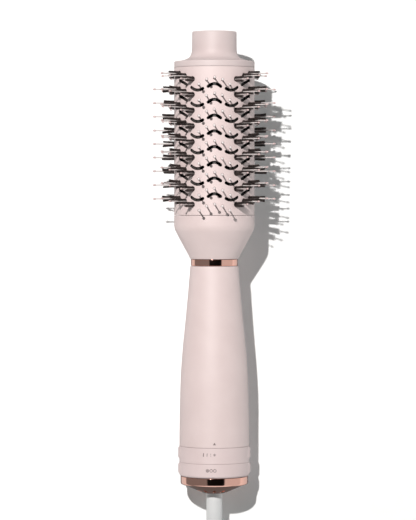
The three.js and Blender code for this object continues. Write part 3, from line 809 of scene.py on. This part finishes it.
def make_barrel():
    """The slotted sleeve with a rounded lip at every opening and at both ends."""
    openings = barrel_openings()
    sheet, faces = barrel_sheet(openings)
    inner = BARREL_R - WALL
    shape = Shape()
    shape.put(wrapped_round(sheet, BARREL_R), faces)
    # The inner skin takes the second paint, the painted shade.
    shape.put(wrapped_round(sheet, inner), [f[::-1] for f in faces], 1)
    # Steps of a quarter round, as shares of its radius outwards and down from the skin.
    steps = [(1 - math.sin(a), 1 - math.cos(a)) for a in (0, 0.45, 0.95, math.pi / 2)]
    for spine, half in openings:
        rings = [wrapped_round(outline_of(spine, half + LIP * out), BARREL_R - LIP * down)
                 for out, down in steps]
        skinned(shape, rings, capped=False)
        # Below its lip, each opening's wall takes the painted shade too.
        skinned(shape, [rings[-1], wrapped_round(outline_of(spine, half + LIP), inner)], 1,
                capped=False)
    around_us = np.linspace(SHEET_START, SHEET_START + SHEET_TURN, SHEET_COLUMNS + 1)[:-1]
    for end, sign in ((BARREL_LOW + END_LIP, -1), (BARREL_HIGH - END_LIP, 1)):
        rings = [wrapped_round([(u, end + sign * END_LIP * (1 - out)) for u in around_us],
                               BARREL_R - END_LIP * down) for out, down in steps]
        rings.append(wrapped_round([(u, end + sign * END_LIP) for u in around_us],
                                   inner + END_LIP))
        rings.append(wrapped_round([(u, end) for u in around_us], inner))
        skinned(shape, rings, capped=False)

    def skin_normals(mesh):
        """True round normals on the outer skin, and the mesh's own elsewhere."""
        normals = []
        for vertex in mesh.vertices:
            offset = np.array(vertex.co) - np.array(TAIL)
            x, y, _ = BRUSH_AXES @ offset / MM
            radius = math.hypot(x, y)
            on_skin = abs(radius - BARREL_R) < ON_SKIN
            normals.append(tuple((RIGHT * x + FRONT * y) / radius) if on_skin else (0, 0, 0))
        return normals

    finished("barrel_sleeve", shape, [BLUSH, SLOT_SHADE], "housing", ("barrel",),
             normals=skin_normals)


# ---- the bristles ----
chance = random.Random(11)
TIP_SIZE = {"pins": (1.3, 1.2), "tufts": (1.35, 0.78)}
TIP_PAINT = {"pins": CLEAR_TIP, "tufts": PIN_TIP}
CARRIER_WIDE = {"pins": 2.2, "tufts": 4.3}
PIN_ROOT_R = 28.9
PIN_SIDES = 12
PIN_TAPER = [(0, 0.64), (3, 0.6), (10, 0.53)]  # height over the root, and half width
PIN_NECK = (1.9, 0.45)  # depth under the pin's top, and half width
PIN_LEAN = 0.25
TUFT_ROOT_R, TUFT_MIDDLE_R = 29.0, 36.0
TUFT_R = 1.9
FILAMENTS = 34


def local_axes(degrees):
    """Directions across, out of and along the brush at an angle round it."""
    a = math.radians(degrees)
    return (np.array((math.cos(a), -math.sin(a), 0)), np.array((math.sin(a), math.cos(a), 0)),
            np.array((0.0, 0.0, 1.0)))


def put_pin(shape, column, z, tip, paint, tip_paint):
    """A tapered nylon pin; tip is half the length and half the width of its drop-shaped end."""
    across, out, along = local_axes(column[0])
    offset = column[2]
    foot, top = (math.sqrt(r * r - offset * offset) for r in (PIN_ROOT_R, BRISTLE_R))
    lean = (across * chance.uniform(-PIN_LEAN, PIN_LEAN)
            + along * chance.uniform(-PIN_LEAN, PIN_LEAN))
    tip_half, tip_thick = tip
    neck_depth, neck_thick = PIN_NECK

    def ring(height, thick):
        centre = out * height + across * offset + along * z
        return ring_of((across, along), centre + lean * (height - foot) / (top - foot), thick,
                       PIN_SIDES)

    skinned(shape, [*(ring(foot + up, thick) for up, thick in PIN_TAPER),
                    ring(top - neck_depth, neck_thick)], paint)
    rings = []
    for k in range(9):
        a = math.pi * (0.12 + 0.86 * k / 8)
        height = top - 0.02 - tip_half - tip_half * math.cos(a)
        rings.append(ring(height, tip_thick * math.sin(a)))
    skinned(shape, rings, tip_paint)


def put_tuft(shape, degrees, z, paint):
    """Two bundles of filaments, on either side of the tuft's pin, splayed a little unevenly."""
    across, out, along = local_axes(degrees)
    axes = (across, along)
    for bundle in (-1, 1):
        reach = TUFT_TIP_R - chance.uniform(0, 1.6)
        sway = across * chance.gauss(0, 0.25) + along * (bundle * chance.uniform(-0.1, 0.75))
        pinch = chance.uniform(0.85, 1.08)
        nearest = chance.uniform(0.12, 0.7)
        for _ in range(FILAMENTS):
            u = chance.uniform(-1, 1)
            v = chance.uniform(nearest, TUFT_R)
            wide = math.sqrt(max(0.0, TUFT_R ** 2 - v * v)) + 0.25
            root = across * u * wide + along * bundle * v
            stray = across * chance.gauss(0, 0.2) + along * chance.gauss(0, 0.17)
            low = out * TUFT_ROOT_R + along * z + root * 0.92
            middle = out * TUFT_MIDDLE_R + along * z + root * 0.96 + sway * 0.45 + stray * 0.35
            high = (out * (reach - abs(chance.gauss(0, 0.6))) + along * z + root * pinch
                    + sway + stray)
            thick = chance.uniform(0.14, 0.21)
            skinned(shape, [ring_of(axes, low, thick, 4), ring_of(axes, middle, thick, 4),
                            ring_of(axes, high, thick * 0.75, 4)], paint)


def put_carrier(shape, columns, width, paint):
    """A spine under each column, joined near both ends."""
    middle = (CARRIER_INNER + CARRIER_OUTER) / 2
    angles = [column_angle(column, middle) for column in columns]
    for angle in angles:
        across, out, _ = local_axes(angle)
        rings = []
        for z in (COMB_LOW + 0.1, COMB_HIGH - 0.1):
            rings.append([
                across * s * width / 2 + out * r + np.array((0, 0, z))
                for s, r in ((-1, CARRIER_INNER), (1, CARRIER_INNER), (1, CARRIER_OUTER),
                             (-1, CARRIER_OUTER))
            ])
        skinned(shape, rings, paint)
    for z in (COMB_LOW + 0.1, COMB_HIGH - 2.1):
        for a, b in zip(angles, angles[1:]):
            steps = [a + (b - a) * s for s in (0, 1 / 3, 2 / 3, 1)]
            sections = [[around(r, step, z + up) for r, up in
                         ((CARRIER_INNER + 0.1, 0), (CARRIER_OUTER - 0.2, 0),
                          (CARRIER_OUTER - 0.2, 2), (CARRIER_INNER + 0.1, 2))] for step in steps]
            skinned(shape, sections, paint)


def make_combs():
    """Each comb is one piece: its carrier, its pins and, on a tuft comb, its filaments."""
    for name, kind, pitch, columns in COMBS:
        shape = Shape()
        put_carrier(shape, columns, CARRIER_WIDE[kind], 0)
        for column in columns:
            for z in rows(FIRST_ROW + column[1], pitch):
                put_pin(shape, column, z, TIP_SIZE[kind], 1, 2)
                if kind == "tufts":
                    put_tuft(shape, column[0], z, 3)
        finished(name.replace("comb", "bristles").replace("strip", "bristles_side"), shape,
                 [CARRIER, NYLON, TIP_PAINT[kind], FIBRE], "housing", (name,),
                 sharp=60)


# ---- shells and rings ----
GRIP_HALF_ANGLE, GRIP_SLOPE_ANGLE, GRIP_SLOPE = 17.5, 4.5, 1.3
GRIP_CLEAR = 0.02  # how far a finger pad stays inside the CAD dial
BASE_SLOTS = 12
BASE_SLOT_SPINE, BASE_SLOT_HALF = [(0.0, 10.9), (0.0, 14.7)], 1.1
SCREW_OUT, SCREW_WELL_R = 19.7, 2.4
BASE_EDGE = 0.14
BOOT_BORE, BOOT_TIP_R, BOOT_FLANGE_R = 3.55, 4.4, 8.0
BOOT_RINGS = 8


def make_tip():
    """The cool tip: a narrow round end that flares out to the barrel."""
    flare = smooth_line([(17.58, 351.5), (17.75, 348.2), (18.5, 345.2), (20.4, 342.9),
                         (23.6, 341.4), (27.3, 340.5), (30.0, 340.15)], 5)
    foot = BARREL_HIGH + GAP - SEAM_TRIM
    corners = [
        (0.0, TIP_HIGH, 0), (17.5, TIP_HIGH, 1.2), *((r, z, 0) for r, z in flare),
        (BARREL_R, 340.0, 0.8), (BARREL_R, foot, 0.12), (26.8, foot, 0), (26.8, foot - 8, 0.3),
        (24.8, foot - 8, 0.3), (24.8, 338.2, 0), (15.3, 340.4, 0), (15.3, TIP_HIGH - 2.2, 0),
        (0.0, TIP_HIGH - 2.2, 0),
    ]
    # The tip takes the darker blush, which is painted shade.
    finished("cool_tip_cap", revolved(rounded(corners)), [SHADED_TIP_BLUSH], "housing", ("cool_tip",))


def make_collar():
    """The flared neck that carries the barrel."""
    low = RING_HIGH + GAP
    corners = [
        (24.8, COLLAR_HIGH + 5, 0.3), (26.8, COLLAR_HIGH + 5, 0.3), (26.8, COLLAR_HIGH, 0),
        (BARREL_R, COLLAR_HIGH, 0.15), (BARREL_R, 208.8, 3.2), (27.0, 199.9, 2.5),
        (20.7, 188.4, 2.0), (18.9, low, 0.15), (17.1, low, 0), (18.9, 188.8, 0), (25.3, 200.7, 0),
        (28.4, 208.5, 0), (24.8, 213, 0),
    ]
    finished("collar_shell", revolved(rounded(corners, 10)), [BLUSH], "housing",
             ("head_collar",))


def make_neck_ring():
    """The plated band between the collar and the handle."""
    corners = [(17.0, RING_LOW, 0), (RING_R, RING_LOW, 0.35), (RING_R, RING_HIGH, 0.35),
               (17.0, RING_HIGH, 0)]
    finished("neck_band", revolved(rounded(corners)), [ROSE], "housing", ("neck_ring",))


def make_handle():
    """The tapered handle shell."""
    low, high = HANDLE_LOW, HANDLE_HIGH
    side = smooth_line([(27.45, 47), (27.2, 60), (26.85, 80), (26.1, 98), (24.7, 116),
                        (22.7, 136), (20.9, 155), (19.7, 169), (18.95, high - 0.5)], 6)
    corners = [
        (25.2, low, 0), (HANDLE_R, low, 0.15), *((r, z, 0) for r, z in side),
        (18.75, high, 0.1), (16.8, high, 0), (17.8, 169, 0), (20.6, 136, 0), (24.1, 97, 0),
        (25.2, 80, 0),
    ]
    finished("handle_grip", revolved(rounded(corners), 192), [BLUSH], "housing",
             ("handle_shell",), sharp=50)


def grip_swell(low, high):
    """Two finger pads, at the right and left, raised from a dial between two heights."""
    rise = GRIP_R - DIAL_R - GRIP_CLEAR

    def swell(degrees, radius, along):
        if radius < DIAL_R - 0.05:
            return 0.0
        off = abs(abs((degrees + 180) % 360 - 180) - 90)
        return rise * smoothstep(GRIP_HALF_ANGLE - off, 0, GRIP_SLOPE_ANGLE) * min(
            smoothstep(along, low, low + GRIP_SLOPE), smoothstep(high - along, 0, GRIP_SLOPE))

    return swell


def make_dial(name, node, low, high, chamfer, pad):
    """A dial ring with two finger pads, on the body of its node's name."""
    outer = [(DIAL_R, z, 0) for z in np.linspace(low + chamfer + 0.5, high - 0.4, 34)]
    corners = [(24.4, low, 0), (DIAL_R - chamfer * 0.75, low, 0.1),
               (DIAL_R, low + chamfer, 0.3), *outer, (DIAL_R, high, 0.15), (24.4, high, 0)]
    shape = revolved(rounded(corners), 240, grip_swell(*pad))
    finished(name, shape, [DIAL_BLUSH], node, (node,))


def make_dials():
    """The heat dial below the handle, and the speed dial between it and the base."""
    make_dial("heat_ring", "heat_dial", HEAT_LOW - SEAM_TRIM, HEAT_HIGH + SEAM_TRIM, 0.2,
              (27.6, 37.0))
    make_dial("speed_ring", "speed_dial", SPEED_LOW, SPEED_HIGH + SEAM_TRIM, 1.1, (15.6, 24.2))


def make_base():
    """The plated base: a short rim and a shallow dome with air slots and two screw wells."""
    under = smooth_line([(23.2, 6.75), (19.0, 4.75), (15.0, 2.95), (11.0, 1.25), (8.6, 0.35)], 5)
    corners = [
        (BASE_R, BASE_HIGH, 0.3), (BASE_R, 7.2, 2.6),
        *((r, z, 0) for r, z in under), (7.3, 0.05, 0.4), (6.8, 0.5, 0.2), (6.8, 2.0, 0),
        (10.5, 3.2, 0), (15, 4.9, 0), (22.8, 8.9, 0), (24.9, 10.6, 0), (24.9, BASE_HIGH, 0),
    ]
    base = finished("base_plate", revolved(rounded(corners), 192), [ROSE], "housing",
                    ("base_cap",))
    cutter = Shape()
    for k in range(BASE_SLOTS):
        degrees = 360 // BASE_SLOTS * k
        if degrees % 180 == 90:  # a screw well takes this slot's place
            continue
        across, out, along = local_axes(degrees)
        loop = outline_of(np.array(BASE_SLOT_SPINE), BASE_SLOT_HALF, 8)
        skinned(cutter, [[across * u + out * v + along * z for u, v in loop] for z in (-2, 9)])
    for side in (-1, 1):
        loop = circle((side * SCREW_OUT, 0), SCREW_WELL_R, 32)
        skinned(cutter, [[(x, y, z) for x, y in loop] for z in (-2, 8.6)])
    tool = finished("base_cutter", cutter, [ROSE], "housing")
    cut = base.modifiers.new("openings", "BOOLEAN")
    cut.operation, cut.solver, cut.object = "DIFFERENCE", "EXACT", tool
    edge = base.modifiers.new("edges", "BEVEL")
    edge.width, edge.segments, edge.limit_method = BASE_EDGE * MM, 2, "ANGLE"
    edge.angle_limit = math.radians(50)
    depsgraph = bpy.context.evaluated_depsgraph_get()
    mesh = bpy.data.meshes.new_from_object(base.evaluated_get(depsgraph), depsgraph=depsgraph)
    base.modifiers.clear()
    base.data = mesh
    base.data.shade_smooth()
    base.data.set_sharp_from_angle(angle=math.radians(40))
    bpy.data.objects.remove(tool)


def make_screws():
    """Two round-head screws with a small round recess, at the bottom of their wells."""
    profile = [(0.0, 7.0), (0.35, 6.95), (0.62, 6.5), (1.5, 6.55), (1.95, 6.9), (2.0, 7.3),
               (2.0, 8.2), (1.05, 8.2), (1.05, 20.4), (0.0, 21.0)]
    for side, name in ((-1, "screw_left"), (1, "screw_right")):
        finished(name, revolved(profile, 32, centre=(side * SCREW_OUT, 0)), [STEEL], "housing",
                 ("base_" + name,))


def make_boot():
    """The strain relief: a plain sleeve, then rings that let it flex, down to the cord."""
    corners = [(BOOT_BORE, BOOT_LOW + 8, 0), (BOOT_BORE, BOOT_LOW, 0.1),
               (BOOT_TIP_R, BOOT_LOW, 0.5)]
    start, end = BOOT_LOW + 1.6, -26.0
    for k in range(BOOT_RINGS):
        z = start + (end - start) * k / BOOT_RINGS
        step = (end - start) / BOOT_RINGS
        wide = BOOT_TIP_R + (BOOT_R - BOOT_TIP_R) * (z - BOOT_LOW) / (end - BOOT_LOW)
        corners += [(wide, z, 0.3), (wide + 0.12, z + step * 0.55, 0.3),
                    (wide - 0.75, z + step * 0.62, 0.2), (wide - 0.7, z + step * 0.94, 0.2)]
    corners += [(BOOT_R, end, 0.6), (BOOT_R, 4.0, 0), (BOOT_FLANGE_R, 4.3, 0),
                (BOOT_FLANGE_R, BOOT_FLANGE, 0), (BOOT_BORE, BOOT_FLANGE, 0)]
    boot = finished("cord_boot", revolved(rounded(corners, 4), 64), [CORD], "cord_swivel",
                    ("strain_relief",), sharp=50)
    # A lit boot would show as a bright patch in the plated base.
    boot.visible_glossy = False


# ---- printed marks ----
PRINT_OVER, PRINT_UNDER = 0.05, 0.02  # how far a mark's two faces are from the surface it is on
MARK_STEP = math.radians(6) * DIAL_R


def put_mark(shape, loop, radius, hole=None):
    """A thin printed patch on a ring of the brush; loop is in millimetres, (across, along)."""
    if hole:
        points, faces = plate_with_hole(loop, hole)
    else:
        points, faces = loop, [tuple(range(len(loop)))]
    over, under = radius + PRINT_OVER, radius - PRINT_UNDER
    shape.put(wrapped_round(points, over, radius), faces)
    shape.put(wrapped_round(points, under, radius), [f[::-1] for f in faces])
    for ring in filter(None, (loop, hole)):
        skinned(shape, [wrapped_round(ring, r, radius) for r in (under, over)], capped=False)


def bar(centre, wide, tall, lean):
    """Flat points of an upright bar whose top leans to one side."""
    return [(centre[0] + x * wide / 2 + y * lean, centre[1] + y * tall / 2)
            for x, y in ((-1, -1), (1, -1), (1, 1), (-1, 1))]


def make_marks():
    """The pointer on the handle, heat marks on one dial and speed rings on the other."""
    pointer = Shape()
    put_mark(pointer, [(-1.15, 40.1), (1.15, 40.1), (0.0, 42.1)], HANDLE_R)
    finished("pointer_mark", pointer, [PRINT], "housing")

    heat = Shape()
    middle = 32.4
    for k, (wide, tall) in enumerate(((0.7, 2.7), (0.5, 2.5))):
        put_mark(heat, bar(((k - 3) * MARK_STEP, middle), wide, tall, 0.12), DIAL_R)
    for up in (-0.75, 0.75):
        put_mark(heat, circle((-MARK_STEP, middle + up), 0.32), DIAL_R)
    for k in range(3):
        a = math.pi * k / 3
        ray = np.array((math.sin(a), math.cos(a)))
        side = np.array((ray[1], -ray[0]))
        put_mark(heat, [tuple(np.array((0.1, middle)) + ray * s * 1.15 + side * t * 0.16)
                        for s, t in ((-1, -1), (-1, 1), (1, 1), (1, -1))], DIAL_R)
    finished("heat_marks", heat, [PRINT], "heat_dial")

    speed = Shape()
    middle = 20.1
    for k in range(3):
        centre = ((k - 2) * MARK_STEP + 0.3, middle)
        put_mark(speed, circle(centre, 1.3), DIAL_R, circle(centre, 0.85))
        if k == 0:
            put_mark(speed, circle(centre, 0.55), DIAL_R)
    finished("speed_marks", speed, [PRINT], "speed_dial")


# ---- the works that stay as CAD made them ----
SLOT_PAINTS = {
    "blush_plastic": BLUSH, "rose_gold": ROSE, "nylon_pin": NYLON, "tuft_fibre": FIBRE,
    "black_plastic": BLACK, "steel": STEEL, "copper": COPPER, "mica": MICA,
    "circuit_board": BOARD, "white_plastic": WHITE, "cord_grey": CORD,
}


def paint_works():
    """Gives every CAD node the finish of its material slot."""
    for part in frame["record"]["subparts"]:
        node = frame["nodes"][part["node"]]
        for slot in node.material_slots:
            slot.material = SLOT_PAINTS[part["material_slot"]]


make_lamp()
make_room()
make_floor()
make_barrel()
make_combs()
make_tip()
make_collar()
make_neck_ring()
make_handle()
make_dials()
make_base()
make_screws()
make_boot()
make_marks()
paint_works()
